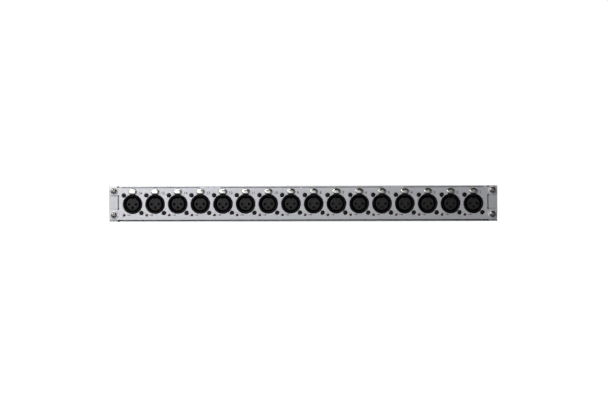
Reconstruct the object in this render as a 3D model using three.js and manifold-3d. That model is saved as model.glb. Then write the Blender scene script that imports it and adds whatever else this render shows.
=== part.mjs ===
// Sixteen-way XLR patch bay, 1U, 19 inch rack format.
//
// A flat aluminium front panel carries sixteen three-pole female sockets in one
// row, channel 16 at the left and channel 1 at the right. Each socket is a
// shell fixed from behind with two diagonal screws, a contact insert pushed in
// from the rear, and a sprung latch lever whose polished thumb tab hangs over
// the front of the panel. A small red indicator shows below and to the left of
// each socket. Behind the panel a folded sheet tray with its own rack ears, a
// lid, a circuit board and two 25-way connectors on the rear wall.
//
// Millimetres. +X to the right seen from the front, +Y towards the rear, +Z up.
// Origin: centre of the bounding box in plan, on the plane of the tray's floor.

import * as THREE from 'three';
import { mergeVertices } from 'three/addons/utils/BufferGeometryUtils.js';
import Module from 'manifold-3d';

const wasm = await Module();
wasm.setup();

// ---------------------------------------------------------------- dimensions
const PANEL_W = 482.6;          // 19 inches over the ears
const UNIT_H = 44.45;           // 1U
const BODY_D = 96;              // panel front face to rear wall outer face
const FRONT_PROUD = 3.2;        // thumb tabs and screw heads in front of the panel
const REAR_PROUD = 6.0;         // connector shells behind the rear wall
const YF = -(BODY_D + FRONT_PROUD + REAR_PROUD) / 2 + FRONT_PROUD; // panel front
const YR = YF + BODY_D;         // rear wall outer face

const CHANNELS = 16;
const PITCH = 28.25;            // socket to socket
const ZC = 22.0;                // socket centre height
const GAP = 0.3;                // clearance between touching pieces

const PANEL_T = 2.0;
const PANEL_Z0 = 2.4;           // lower edge of the front panel
const HOLE_R = 12.2;            // socket hole
const NOTCH_W = 3.4;            // half width of the latch notch above it
const NOTCH_Z = 15.1;
const SCREW_X = 11.0, SCREW_Z = 11.0;   // diagonal socket screws
const LED_X = -10.6, LED_Z = -13.7;     // indicator
const TAB_X = 229.5;            // where the corner tabs of the panel begin
const TAB_TOP = 32.7, TAB_BOTTOM = 15.9;
const EAR_X = TAB_X + 1.0;      // where the pressed-forward middle of the ear begins
const RELIEF_R = 0.9;           // drilled relief at the ends of the ear slots
const RACK_X = 234.4;           // rack slots
const RACK_Z = [8.9, 38.7];     // heights of the lower and the upper slots
const RACK_SCREW_X = 235.4;     // where the screws sit in those slots

const SHEET = 1.2;              // tray and lid sheet thickness
const WALL_X = 224.5;           // outer face of the tray's side walls
const EAR_Y0 = YF + PANEL_T + GAP, EAR_Y1 = EAR_Y0 + SHEET;
const WALL_H = UNIT_H - SHEET - GAP;

const COLLAR_R = 11.9, TUBE_R = 10.6, BORE_R = 9.6, INSERT_R = 7.8;
const PIVOT_Y = 6.0, PIVOT_Z = 14.1;    // latch axle, from the socket centre

const BOARD_Z0 = 6.0, BOARD_T = 1.6, BOARD_TOP = BOARD_Z0 + BOARD_T;
const BOARD_Y0 = YF + 9.0, BOARD_Y1 = YR - 5.0;

const MULTI_X = 105.9;          // rear connectors, left and right of centre
const MULTI_Z = BOARD_TOP + GAP + 6.4;
const JACK_X = 23.52;           // half of 47.04

const SIDES = 12;               // facets of the larger rounds

// ---------------------------------------------------------------- materials
const mat = (color, roughness, metalness) =>
  new THREE.MeshStandardMaterial({ color, roughness, metalness });
const M = {
  panel: mat(0xb4b6bc, 0.45, 0.75),
  chassis: mat(0xa9abb0, 0.5, 0.7),
  shell: mat(0x17171a, 0.5, 0.0),
  insert: mat(0x26262a, 0.6, 0.0),
  latch: mat(0xd0cec6, 0.2, 1.0),
  screw: mat(0xb9b6b0, 0.3, 1.0),
  board: mat(0x1d5a34, 0.6, 0.0),
  lens: mat(0x5c1224, 0.25, 0.0),
  multi: mat(0xb8b6ac, 0.35, 0.9),
};

// ---------------------------------------------------------------- solid tools
function solid(geometry) {
  const g = geometry.clone();
  g.deleteAttribute('normal');
  g.deleteAttribute('uv');
  const m = mergeVertices(g, 1e-4);
  return new wasm.Manifold(new wasm.Mesh({
    numProp: 3,
    vertProperties: new Float32Array(m.attributes.position.array),
    triVerts: new Uint32Array(m.index.array),
  }));
}

function geometryOf(manifold) {
  const m = manifold.getMesh();
  const v = new Float32Array(m.numVert * 3);
  for (let i = 0; i < m.numVert; i++) {
    v.set(m.vertProperties.subarray(i * m.numProp, i * m.numProp + 3), i * 3);
  }
  const g = new THREE.BufferGeometry();
  g.setAttribute('position', new THREE.BufferAttribute(v, 3));
  g.setIndex(new THREE.BufferAttribute(new Uint32Array(m.triVerts), 1));
  g.computeVertexNormals();
  return g;
}

const box = (x0, x1, y0, y1, z0, z1) => {
  const g = new THREE.BoxGeometry(x1 - x0, y1 - y0, z1 - z0);
  g.translate((x0 + x1) / 2, (y0 + y1) / 2, (z0 + z1) / 2);
  return solid(g);
};

// Tapered round along Y from radius r0 at y0 to r1 at y1.
const roundY = (r0, r1, x, z, y0, y1, n = SIDES) => {
  const g = new THREE.CylinderGeometry(r1, r0, y1 - y0, n);
  g.rotateY(Math.PI / n);
  g.translate(x, (y0 + y1) / 2, z);
  return solid(g);
};

const roundX = (r, y, z, x0, x1, n) => {
  const g = new THREE.CylinderGeometry(r, r, x1 - x0, n);
  g.rotateZ(Math.PI / 2);
  g.translate((x0 + x1) / 2, y, z);
  return solid(g);
};

const roundZ = (r, x, y, z0, z1, n) => {
  const g = new THREE.CylinderGeometry(r, r, z1 - z0, n);
  g.rotateX(Math.PI / 2);
  g.translate(x, y, (z0 + z1) / 2);
  return solid(g);
};

// A closed outline in X and Z, extruded along Y.
const plateY = (points, y0, y1) => {
  const s = new THREE.Shape(points.map(([x, z]) => new THREE.Vector2(x, z)));
  const g = new THREE.ExtrudeGeometry(s, { depth: y1 - y0, bevelEnabled: false });
  g.rotateX(Math.PI / 2);
  g.translate(0, y1, 0);
  return solid(g);
};

// A closed outline in X and Y, extruded along Z.
const plateZ = (points, z0, z1) => {
  const s = new THREE.Shape(points.map(([x, y]) => new THREE.Vector2(x, y)));
  const g = new THREE.ExtrudeGeometry(s, { depth: z1 - z0, bevelEnabled: false });
  g.translate(0, 0, z0);
  return solid(g);
};

// A closed outline in Y and Z, extruded along X.
const barX = (points, x0, x1) => {
  const s = new THREE.Shape(points.map(([y, z]) => new THREE.Vector2(y, z)));
  const g = new THREE.ExtrudeGeometry(s, { depth: x1 - x0, bevelEnabled: false });
  g.rotateZ(Math.PI / 2);
  g.rotateY(Math.PI / 2);
  g.translate(x0, 0, 0);
  return solid(g);
};

// An obround hole tool along Y: width w over its round ends, height h.
const obround = (x, z, w, h, y0, y1, n = 10) => {
  const c = (w - h) / 2;
  return box(x - c, x + c, y0, y1, z - h / 2, z + h / 2)
    .add(roundY(h / 2, h / 2, x - c, z, y0, y1, n))
    .add(roundY(h / 2, h / 2, x + c, z, y0, y1, n));
};

const join = (list) => list.slice(1).reduce((a, b) => a.add(b), list[0]);
const both = (make) => join([make(-1), make(1)]);
const sorted = (s, a, b) => (s > 0 ? [a, b] : [-b, -a]);

const socketX = (n) => ((CHANNELS - n) - (CHANNELS - 1) / 2) * PITCH;
const channels = Array.from({ length: CHANNELS }, (_, i) => CHANNELS - i);

const group = new THREE.Group();
group.name = 'patch_bay';
function put(parent, name, geometry, material) {
  const mesh = new THREE.Mesh(geometry, material);
  mesh.name = name;
  parent.add(mesh);
  return mesh;
}

// ---------------------------------------------------------------- front panel
// A flat plate with a tab at each corner. Between the tabs the rack ear of the
// tray shows through.
{
  const W = PANEL_W / 2;
  let p = box(-W, W, YF, YF + PANEL_T, PANEL_Z0, UNIT_H);
  const Y0 = YF - 1, Y1 = YF + PANEL_T + 1;
  const cuts = [];
  for (const s of [-1, 1]) {
    const [a, b] = sorted(s, TAB_X, W + 1);
    cuts.push(box(a, b, Y0, Y1, TAB_BOTTOM, TAB_TOP));
    for (const z of [TAB_BOTTOM + 0.5, TAB_TOP - 0.5]) {
      cuts.push(roundY(RELIEF_R, RELIEF_R, s * (TAB_X + 0.5), z, Y0, Y1, 8));
    }
    const [c, d] = sorted(s, TAB_X - 0.4, TAB_X + 1.1);
    cuts.push(box(c, d, Y0, Y1, UNIT_H - 1.6, UNIT_H + 1));
    for (const z of RACK_Z) cuts.push(obround(s * RACK_X, z, 9.0, 6.6, Y0, Y1));
  }
  for (const n of channels) {
    const x = socketX(n);
    cuts.push(roundY(HOLE_R, HOLE_R, x, ZC, Y0, Y1));
    cuts.push(box(x - NOTCH_W, x + NOTCH_W, Y0, Y1, ZC, ZC + NOTCH_Z));
    for (const k of [-1, 1]) {
      cuts.push(roundY(3.1, 3.1, x + k * SCREW_X, ZC - k * SCREW_Z, Y0, Y1, 6));
    }
    cuts.push(roundY(1.75, 1.75, x + LED_X, ZC + LED_Z, Y0, Y1, 6));
  }
  p = p.subtract(join(cuts));
  put(group, 'front_panel', geometryOf(p), M.panel);
}

// ---------------------------------------------------------------- chassis tray
// One folded sheet: floor, side walls, rear wall and the two rack ears. The
// floor runs forward under the panel as a lip, and the middle of each ear is
// pressed forward between the panel's corner tabs.
{
  const LIP_X = 228.4;
  const inX = WALL_X - SHEET;
  const parts = [];
  parts.push(plateZ([
    [-LIP_X, YF], [LIP_X, YF], [LIP_X, EAR_Y0 - GAP], [WALL_X, EAR_Y0 - GAP],
    [WALL_X, YR], [-WALL_X, YR], [-WALL_X, EAR_Y0 - GAP], [-LIP_X, EAR_Y0 - GAP],
  ], 0, SHEET));
  parts.push(box(-WALL_X, WALL_X, YR - SHEET, YR, 0, WALL_H));
  for (const s of [-1, 1]) {
    const [a, b] = sorted(s, inX, WALL_X);
    parts.push(box(a, b, EAR_Y0, YR, 0, WALL_H));
    // ear flange behind the panel
    const [c, d] = sorted(s, inX, PANEL_W / 2);
    parts.push(box(c, d, EAR_Y0, EAR_Y1, 0, UNIT_H));
    // tabs turned in under the lid
    for (const y of [YF + 34, YR - 22]) {
      const [e, f] = sorted(s, 212.5, inX + 0.2);
      parts.push(box(e, f, y, y + 12, WALL_H - SHEET, WALL_H));
    }
  }
  // pressed-in standoffs under the board
  for (const x of [-200, 0, 200]) {
    for (const y of [BOARD_Y0 + 18, BOARD_Y1 - 10]) {
      parts.push(roundZ(2.6, x, y, SHEET - 0.2, BOARD_Z0 - GAP, 8));
    }
  }
  let t = join(parts);
  const cuts = [];
  for (const s of [-1, 1]) {
    // the ear's middle is cut free and pressed forward
    const [a, b] = sorted(s, EAR_X, PANEL_W / 2 + 1);
    cuts.push(box(a, b, EAR_Y0 - 1, EAR_Y1 + 1, TAB_BOTTOM + GAP + SHEET,
      TAB_TOP - GAP - SHEET));
    for (const z of RACK_Z) {
      cuts.push(obround(s * RACK_X, z, 9.0, 6.6, EAR_Y0 - 1, EAR_Y1 + 1));
    }
    for (const k of [-1, 1]) {
      // clearance round the outermost socket's screw lobes and indicator
      const [e, f] = sorted(s, inX - 1, WALL_X + 1.4);
      const [z0, z1] = k > 0 ? [SCREW_Z - 3.4, SCREW_Z + 3.0] : [-15.8, 3.4 - SCREW_Z];
      cuts.push(box(e, f, EAR_Y0 - 1, YF + 7.8, ZC + z0, ZC + z1));
    }
    // and round its collar
    const [m, n] = sorted(s, inX - 1, WALL_X - 0.4);
    cuts.push(box(m, n, EAR_Y0 - 1, YF + 2.9, ZC - 4.6, ZC + 4.6));
    // bottom corner notch between the floor lip and the ear
    const [g, h] = sorted(s, LIP_X, TAB_X + 1.1);
    cuts.push(box(g, h, EAR_Y0 - 1, EAR_Y0 + 0.6, -1, 3.2));
  }
  // rear wall: connector windows and their screw holes
  for (const s of [-1, 1]) {
    cuts.push(plateY([
      [s * MULTI_X - 19.7, MULTI_Z + 4.3], [s * MULTI_X - 18.0, MULTI_Z - 4.5],
      [s * MULTI_X + 18.0, MULTI_Z - 4.5], [s * MULTI_X + 19.7, MULTI_Z + 4.3],
    ], YR - SHEET - 1, YR + 1));
    for (const k of [-1, 1]) {
      cuts.push(roundY(1.9, 1.9, s * MULTI_X + k * JACK_X, MULTI_Z,
        YR - SHEET - 1, YR + 1, 8));
    }
  }
  t = t.subtract(join(cuts));
  const adds = [];
  for (const s of [-1, 1]) {
    const z0 = TAB_BOTTOM + GAP, z1 = TAB_TOP - GAP;
    const [a, b] = sorted(s, EAR_X, PANEL_W / 2);
    adds.push(barX([
      [YF + 0.4, z0], [EAR_Y1, z0], [EAR_Y1, z0 + SHEET], [YF + 0.4 + SHEET, z0 + SHEET],
      [YF + 0.4 + SHEET, z1 - SHEET], [EAR_Y1, z1 - SHEET], [EAR_Y1, z1], [YF + 0.4, z1],
    ], a, b));
    // return lip along the ear's bottom edge
    const [c, d] = sorted(s, TAB_X + 1.1, PANEL_W / 2);
    adds.push(box(c, d, YF + 0.4, EAR_Y0 + 0.2, 0, 1.9));
  }
  // ground stud with its pressed-in collar
  adds.push(roundY(3.2, 3.2, 0, 30, YR - 0.2, YR + 1.4, 8));
  adds.push(roundY(1.9, 1.9, 0, 30, YR - 0.2, YR + 5.8, 8));
  t = join([t, ...adds]);
  put(group, 'chassis_tray', geometryOf(t), M.chassis);
}

// ---------------------------------------------------------------- top cover
{
  const z0 = UNIT_H - SHEET;
  let c = plateZ([
    [-223.0, EAR_Y0], [223.0, EAR_Y0], [223.0, EAR_Y1 + GAP], [WALL_X, EAR_Y1 + GAP],
    [WALL_X, YR], [-WALL_X, YR], [-WALL_X, EAR_Y1 + GAP], [-223.0, EAR_Y1 + GAP],
  ], z0, UNIT_H);
  for (const s of [-1, 1]) {
    for (const [y0, y1] of [[YF + 48, YR - 24]]) {
      const [a, b] = sorted(s, 221.8, 223.0);
      c = c.add(box(a, b, y0, y1, z0 - 7, z0 + 0.2));
    }
  }
  put(group, 'top_cover', geometryOf(c), M.chassis);
}

// ---------------------------------------------------------------- board
{
  let b = box(-218, 218, BOARD_Y0, BOARD_Y1, BOARD_Z0, BOARD_TOP);
  put(group, 'main_board', geometryOf(b), M.board);
}

// ---------------------------------------------------------------- indicator light pipes
// One clear red moulding for each bank of eight: a bar on the board's front
// edge with eight round lenses that reach through the panel.
function lightPipe(name, list) {
  const pipe = new THREE.Group();
  pipe.position.set(0, YF, ZC);
  const xs = list.map((n) => socketX(n) + LED_X);
  const x0 = Math.max(Math.min(...xs) - 2, -222.9), x1 = Math.max(...xs) + 2;
  const zb = BOARD_TOP + GAP - ZC, zt = zb + 1.8, zl = zb - 0.7;
  let g = barX([[7.0, zl], [8.7, zl], [8.7, zb], [12.0, zb], [12.0, zt], [7.0, zt]], x0, x1);
  g = join([g, ...xs.map((x) => roundY(1.4, 1.4, x, LED_Z, -0.4, 7.2, 6))]);
  put(pipe, name, geometryOf(g), M.lens);
  group.add(pipe);
}
lightPipe('indicator_light_pipe_9_16', channels.filter((n) => n > 8));
lightPipe('indicator_light_pipe_1_8', channels.filter((n) => n <= 8));

// ---------------------------------------------------------------- rear 25-way connectors
{
  const list = [
    box(-26.5, 26.5, -2.7, -SHEET - GAP, -6.2, 6.2),
    box(-20.5, 20.5, -13.0, -2.6, -6.4, 5.4),
    plateY([[-19.2, 3.9], [-17.6, -4.1], [17.6, -4.1], [19.2, 3.9]], -2.6, REAR_PROUD),
  ];
  for (const k of [-1, 1]) {
    list.push(roundY(1.5, 1.5, k * JACK_X, 0, -2.6, 1.0, 8));
    list.push(roundY(2.75, 2.75, k * JACK_X, 0, GAP, 5.0, 6));
  }
  const g = geometryOf(join(list));
  for (const [name, s] of [['multipin_connector_1_8', 1], ['multipin_connector_9_16', -1]]) {
    put(group, name, g, M.multi).position.set(s * MULTI_X, YR, MULTI_Z);
  }
}

// ---------------------------------------------------------------- corner screws
// Pan-head rack screws with a captive washer.
{
  const screw = geometryOf(join([
    roundY(2.45, 2.45, 0, 0, -0.5, 11.0, 8),
    roundY(5.3, 5.3, 0, 0, -1.1, -GAP, 12),
    roundY(3.0, 4.2, 0, 0, -FRONT_PROUD, -1.0, 12),
  ]));
  for (const [side, s] of [['left', -1], ['right', 1]]) {
    for (const [row, z] of [['lower', RACK_Z[0]], ['upper', RACK_Z[1]]]) {
      put(group, `rack_screw_${row}_${side}`, screw, M.screw)
        .position.set(s * RACK_SCREW_X, YF, z);
    }
  }
}

// ---------------------------------------------------------------- sockets
// Local frame of a socket: origin on its axis in the plane of the panel's
// front face, Y into the unit.
function socketShell() {
  const lobe = [
    [-11, -9], [-8.5, -11.9], [8.4, -11.9], [8.6, -13.4], [13.4, -13.4], [13.4, -8.6],
    [11, -8.4], [11, 9], [8.5, 11.9], [-8.4, 11.9], [-8.6, 13.4], [-13.4, 13.4],
    [-13.4, 8.6], [-11, 8.4],
  ];
  const y0 = PANEL_T + GAP;
  const s = join([
    roundY(COLLAR_R, COLLAR_R, 0, 0, -GAP, y0 + 0.2),
    box(-3.0, 3.0, -GAP, y0 + 0.2, 8, 12.6),
    plateY(lobe, y0, y0 + 2.5),
    roundY(TUBE_R, TUBE_R, 0, 0, y0 + 2.3, 20),
    box(-4.7, 4.7, y0 + 2.3, 7.8, 9.6, 15.6),
    roundY(2.6, 2.6, SCREW_X, -SCREW_Z, -GAP, y0 + 0.2, 6),
    roundY(2.6, 2.6, -SCREW_X, SCREW_Z, -GAP, y0 + 0.2, 6),
  ]);
  return s.subtract(join([
    roundY(BORE_R, BORE_R, 0, 0, -2, 22),
    box(-3.1, 3.1, y0 + 2, 9, 12.3, 17),                                     // between the cheeks
    box(-6, 6, PIVOT_Y - 1.1, PIVOT_Y + 1.1, PIVOT_Z - 1.1, 17),   // axle cradle
    box(-2.1, 2.1, 10.2, 13.6, 5, 12),                                       // hook window
  ]));
}

function socketInsert() {
  let s = join([
    roundY(INSERT_R, INSERT_R, 0, 0, 0.9, 20.2),
    box(-6.4, 6.4, 15.6, 20.2, -6.4, 6.4),
    box(-8.5, 8.5, 20.0, 24.0, -8.2, 4.0),
  ]);
  const foot = BOARD_TOP + GAP - ZC;
  for (const [x, y] of [[-5, 21.4], [0, 23.0], [5, 21.4]]) {
    s = s.add(box(x - 0.5, x + 0.5, y - 0.5, y + 0.5, foot, -8.0));
  }
  const holes = [[-4.3, 0], [4.3, 0], [0, -4.3]];
  return s.subtract(join(holes.map(([x, z]) => roundY(1.5, 1.5, x, z, 0, 11, 4))));
}

// Thumb tab in front of the panel, a neck through the notch, an axle in the
// shell's cheeks, and a hook that drops into the bore.
function socketLatch() {
  const tab = [
    [-4.4, 12.4], [4.4, 12.4], [5.2, 14.8], [4.7, 17.3], [2.6, 19.0], [-2.6, 19.0],
    [-4.7, 17.3], [-5.2, 14.8],
  ];
  return join([
    plateY(tab, -FRONT_PROUD, -1.8),
    barX([
      [-2.6, 13.6], [11.2, 13.6], [11.2, 8.8], [12.6, 8.8], [12.6, 14.6], [-2.6, 14.6],
    ], -1.7, 1.7),
    roundX(0.85, PIVOT_Y, PIVOT_Z, -4.4, 4.4, 6),
  ]);
}

{
  const shell = geometryOf(socketShell());
  const insert = geometryOf(socketInsert());
  const latch = geometryOf(socketLatch());
  for (const n of channels) {
    const socket = new THREE.Group();
    socket.position.set(socketX(n), YF, ZC);
    const id = 'socket_' + String(n).padStart(2, '0');
    put(socket, id + '_shell', shell, M.shell);
    put(socket, id + '_insert', insert, M.insert);
    put(socket, id + '_latch', latch, M.latch);
    group.add(socket);
  }
}

export default group;
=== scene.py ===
import math
import bpy
import bmesh
from mathutils import Vector, Matrix
from mathutils.geometry import tessellate_polygon


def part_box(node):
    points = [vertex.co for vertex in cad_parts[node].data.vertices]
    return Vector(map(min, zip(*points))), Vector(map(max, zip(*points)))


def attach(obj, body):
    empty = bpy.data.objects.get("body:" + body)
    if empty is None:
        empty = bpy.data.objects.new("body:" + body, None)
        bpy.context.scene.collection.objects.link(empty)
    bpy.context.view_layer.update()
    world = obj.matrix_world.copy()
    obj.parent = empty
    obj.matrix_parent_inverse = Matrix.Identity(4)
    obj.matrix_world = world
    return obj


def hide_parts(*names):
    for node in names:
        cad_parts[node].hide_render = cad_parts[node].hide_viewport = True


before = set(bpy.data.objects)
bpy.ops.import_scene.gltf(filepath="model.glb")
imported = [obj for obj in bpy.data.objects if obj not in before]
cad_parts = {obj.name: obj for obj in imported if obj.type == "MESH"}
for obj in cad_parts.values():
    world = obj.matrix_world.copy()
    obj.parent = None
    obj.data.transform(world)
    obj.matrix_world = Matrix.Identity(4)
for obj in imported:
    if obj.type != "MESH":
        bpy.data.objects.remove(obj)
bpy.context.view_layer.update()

MM = 0.001
PI = math.pi

# ------------------------------------------------------------------ frame positions
def centre(node):
    lo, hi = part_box(node)
    return [(a + b) / 2 / MM for a, b in zip(lo, hi)]

P_LO, P_HI = [[v / MM for v in c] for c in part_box("front_panel")]
YF, YB = P_LO[1], P_HI[1]                     # panel front and back
T_LO, T_HI = [[v / MM for v in c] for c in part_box("chassis_tray")]
H = P_HI[2]                                   # unit height
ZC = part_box("socket_08_shell")[0][2] / MM + 13.4   # height of the row of sockets
SX = {n: centre(f"socket_{n:02d}_insert")[0] for n in range(1, 17)}
M_LO, M_HI = [[v / MM for v in c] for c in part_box("multipin_connector_1_8")]
MULTI = {"1_8": centre("multipin_connector_1_8")[0], "9_16": centre("multipin_connector_9_16")[0]}
YR = M_HI[1] - 6.0                            # outer face of the rear wall
MZ = 14.3                                     # rear connector axis height
LED_X, LED_Z = -10.6, -13.7
SCREWS = [(-11.0, 11.0), (11.0, -11.0)]

# ------------------------------------------------------------------ materials
def new_mat(name):
    m = bpy.data.materials.new(name)
    m.use_nodes = True
    nt = m.node_tree
    b = next(n for n in nt.nodes if n.type == "BSDF_PRINCIPLED")
    return m, nt, b

def noise(nt, scale, detail=3.0, rough=0.55, coords=None, stretch=None):
    tc = coords or nt.nodes.new("ShaderNodeTexCoord").outputs["Object"]
    if stretch:
        mp = nt.nodes.new("ShaderNodeMapping")
        mp.inputs["Scale"].default_value = stretch
        nt.links.new(tc, mp.inputs["Vector"])
        tc = mp.outputs["Vector"]
    n = nt.nodes.new("ShaderNodeTexNoise")
    n.inputs["Scale"].default_value = scale
    n.inputs["Detail"].default_value = detail
    n.inputs["Roughness"].default_value = rough
    nt.links.new(tc, n.inputs["Vector"])
    return n.outputs["Fac"]

def ramp(nt, fac, stops):
    r = nt.nodes.new("ShaderNodeValToRGB")
    e = r.color_ramp.elements
    e[0].position, e[0].color = stops[0][0], (*stops[0][1], 1)
    e[1].position, e[1].color = stops[-1][0], (*stops[-1][1], 1)
    for p, c in stops[1:-1]:
        k = e.new(p)
        k.color = (*c, 1)
    nt.links.new(fac, r.inputs["Fac"])
    return r.outputs["Color"]

def span(nt, fac, lo, hi):
    m = nt.nodes.new("ShaderNodeMapRange")
    m.inputs["From Min"].default_value = 0.3
    m.inputs["From Max"].default_value = 0.7
    m.inputs["To Min"].default_value = lo
    m.inputs["To Max"].default_value = hi
    nt.links.new(fac, m.inputs["Value"])
    return m.outputs["Result"]

def bump(nt, b, fac, dist, strength):
    n = nt.nodes.new("ShaderNodeBump")
    n.inputs["Distance"].default_value = dist
    n.inputs["Strength"].default_value = strength
    nt.links.new(fac, n.inputs["Height"])
    nt.links.new(n.outputs["Normal"], b.inputs["Normal"])

def surface(name, lo, hi, metallic, r_lo, r_hi, scale, bump_scale=None, bump_mm=0.01,
            strength=0.3, stretch=None, coat=0.0, spec=0.5, aniso=0.0):
    """A procedural finish: colour and roughness drift at one scale, relief at a finer one."""
    m, nt, b = new_mat(name)
    tc = nt.nodes.new("ShaderNodeTexCoord").outputs["Object"]
    f = noise(nt, scale, 4.0, coords=tc, stretch=stretch)
    nt.links.new(ramp(nt, f, [(0.3, lo), (0.7, hi)]), b.inputs["Base Color"])
    nt.links.new(span(nt, f, r_lo, r_hi), b.inputs["Roughness"])
    b.inputs["Metallic"].default_value = metallic
    b.inputs["Specular IOR Level"].default_value = spec
    b.inputs["Coat Weight"].default_value = coat
    b.inputs["Anisotropic"].default_value = aniso
    if bump_scale:
        bump(nt, b, noise(nt, bump_scale, 2.0, coords=tc, stretch=stretch), bump_mm * MM, strength)
    return m

MAT = {
    "panel": surface("anodised_silver", (0.60, 0.61, 0.645), (0.64, 0.65, 0.68), 0.72, 0.40, 0.47,
                     60, 2600, 0.012, 0.25),
    "panel_edge": surface("cut_aluminium", (0.66, 0.66, 0.67), (0.74, 0.74, 0.75), 0.9, 0.25, 0.36,
                          300, 3000, 0.01, 0.3),
    "sheet": surface("zinc_steel_sheet", (0.56, 0.57, 0.59), (0.60, 0.61, 0.63), 0.62, 0.42, 0.47,
                     30, 1600, 0.01, 0.25),
    "ear": surface("satin_ear", (0.60, 0.61, 0.645), (0.65, 0.66, 0.69), 0.72, 0.38, 0.46, 60, 2600, 0.012, 0.25),
    "shell": surface("moulded_black", (0.0045, 0.0045, 0.0055), (0.008, 0.0078, 0.009), 0.0, 0.34, 0.46,
                     500, 2400, 0.02, 0.35, spec=0.12),
    "insert": surface("insert_black", (0.0115, 0.0110, 0.0125), (0.0165, 0.0156, 0.0176), 0.0, 0.46, 0.58,
                      700, 3000, 0.02, 0.35, spec=0.30),
    "nickel": surface("polished_nickel", (0.52, 0.51, 0.49), (0.58, 0.57, 0.545), 1.0, 0.07, 0.14,
                      400, 900, 0.01, 0.10),
    "black_screw": surface("black_oxide", (0.005, 0.005, 0.006), (0.012, 0.0115, 0.013), 0.35, 0.26, 0.40,
                           900, 2600, 0.012, 0.3, spec=0.3),
    "bright_screw": surface("bright_steel", (0.25, 0.24, 0.235), (0.36, 0.35, 0.34), 1.0, 0.16, 0.27,
                            600, 2200, 0.01, 0.2),
    "washer": surface("washer_steel", (0.64, 0.645, 0.665), (0.72, 0.72, 0.735), 0.75, 0.36, 0.46, 700, 2600, 0.01, 0.2),
    "ink": surface("print_dark", (0.030, 0.030, 0.036), (0.05, 0.05, 0.056), 0.0, 0.5, 0.62, 900, 3500, 0.004, 0.3),
    "ink_grey": surface("print_grey", (0.10, 0.10, 0.115), (0.15, 0.15, 0.165), 0.0, 0.5, 0.62, 900, 3500, 0.004, 0.3),
    "board": surface("solder_mask", (0.008, 0.060, 0.022), (0.012, 0.095, 0.034), 0.0, 0.22, 0.34, 220, 1500, 0.02, 0.3,
                     coat=0.3),
    "plating": surface("nickel_plating", (0.58, 0.565, 0.52), (0.68, 0.66, 0.61), 1.0, 0.22, 0.34, 300, 1800, 0.01, 0.2),
    "dielectric": surface("connector_black", (0.012, 0.012, 0.014), (0.02, 0.02, 0.023), 0.0, 0.42, 0.55,
                          600, 2600, 0.02, 0.3),
    # painted shade: the contacts are darkened to near-black so the deep contact holes read as shadowed
    "contact": surface("contact_painted_shade", (0.13, 0.125, 0.115), (0.19, 0.18, 0.165), 1.0, 0.38, 0.48, 900, 2600, 0.01, 0.1),
    # painted shade: a near-black material stands in for the shadow in the ear slots and the gaps behind the panel
    "recess": surface("painted_shade_recess", (0.020, 0.020, 0.022), (0.034, 0.034, 0.037), 0.3, 0.55, 0.7, 300, 1500, 0.01, 0.2, spec=0.2),
    "solder": surface("solder", (0.56, 0.56, 0.57), (0.68, 0.68, 0.69), 1.0, 0.20, 0.34, 900, 2600, 0.02, 0.2),
    "resistor": surface("resistor_coat", (0.26, 0.36, 0.40), (0.32, 0.43, 0.47), 0.0, 0.30, 0.42, 600, 2400, 0.02, 0.2, coat=0.2),
    "band": surface("resistor_band", (0.20, 0.05, 0.02), (0.26, 0.07, 0.03), 0.0, 0.35, 0.45, 600, 2400, 0.02, 0.2),
    # painted shade: the latch arm and hook are made dark so they stay shadowed inside the socket bore
    "lever": surface("lever_painted_shade", (0.030, 0.029, 0.028), (0.055, 0.053, 0.050), 0.6, 0.42, 0.55, 700, 2400, 0.01, 0.2),
    "brass": surface("brass", (0.62, 0.47, 0.20), (0.72, 0.56, 0.27), 1.0, 0.22, 0.34, 500, 2000, 0.01, 0.2),
}

def lens_material():
    m, nt, b = new_mat("indicator_red")
    f = noise(nt, 900, 2.0)
    nt.links.new(ramp(nt, f, [(0.3, (0.085, 0.010, 0.024)), (0.7, (0.12, 0.016, 0.036))]), b.inputs["Base Color"])
    b.inputs["Roughness"].default_value = 0.16
    b.inputs["Subsurface Weight"].default_value = 0.25
    b.inputs["Subsurface Radius"].default_value = (0.0012, 0.0003, 0.0003)
    b.inputs["Coat Weight"].default_value = 0.6
    b.inputs["Coat Roughness"].default_value = 0.08
    return m

MAT["lens"] = lens_material()

# ------------------------------------------------------------------ mesh tools
def area2(p):
    return sum(p[i][0] * p[(i + 1) % len(p)][1] - p[(i + 1) % len(p)][0] * p[i][1] for i in range(len(p)))

def arc(cx, cz, r, a0, a1, n):
    """Points on an arc from angle a0 to a1 in degrees, both ends included."""
    return [(cx + r * math.cos(math.radians(a0 + (a1 - a0) * i / n)),
             cz + r * math.sin(math.radians(a0 + (a1 - a0) * i / n))) for i in range(n + 1)]

def circle(cx, cz, r, n=64, turn=0.0):
    return [(cx + r * math.cos(2 * PI * i / n + turn), cz + r * math.sin(2 * PI * i / n + turn)) for i in range(n)]

def rounded(points, radius, n=5):
    """A polygon with its corners rounded; radius may be one number or one per corner."""
    out = []
    m = len(points)
    for i, p in enumerate(points):
        r = radius[i] if isinstance(radius, (list, tuple)) else radius
        a, b, c = Vector(points[i - 1]), Vector(p), Vector(points[(i + 1) % m])
        u, v = (a - b).normalized(), (c - b).normalized()
        if r <= 0 or abs(u.cross(v)) < 1e-4:
            out.append(tuple(b))
            continue
        half = math.acos(max(-1, min(1, u.dot(v)))) / 2
        d = min(r / math.tan(half), (a - b).length * 0.499, (c - b).length * 0.499)
        rr = d * math.tan(half)
        o = b + (u + v).normalized() * (rr / math.sin(half))
        s, e = b + u * d - o, b + v * d - o
        a0 = math.atan2(s.y, s.x)
        da = math.atan2(s.cross(e), s.dot(e))
        out += [tuple(o + Vector((math.cos(a0 + da * k / n), math.sin(a0 + da * k / n))) * rr) for k in range(n + 1)]
    return out

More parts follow.
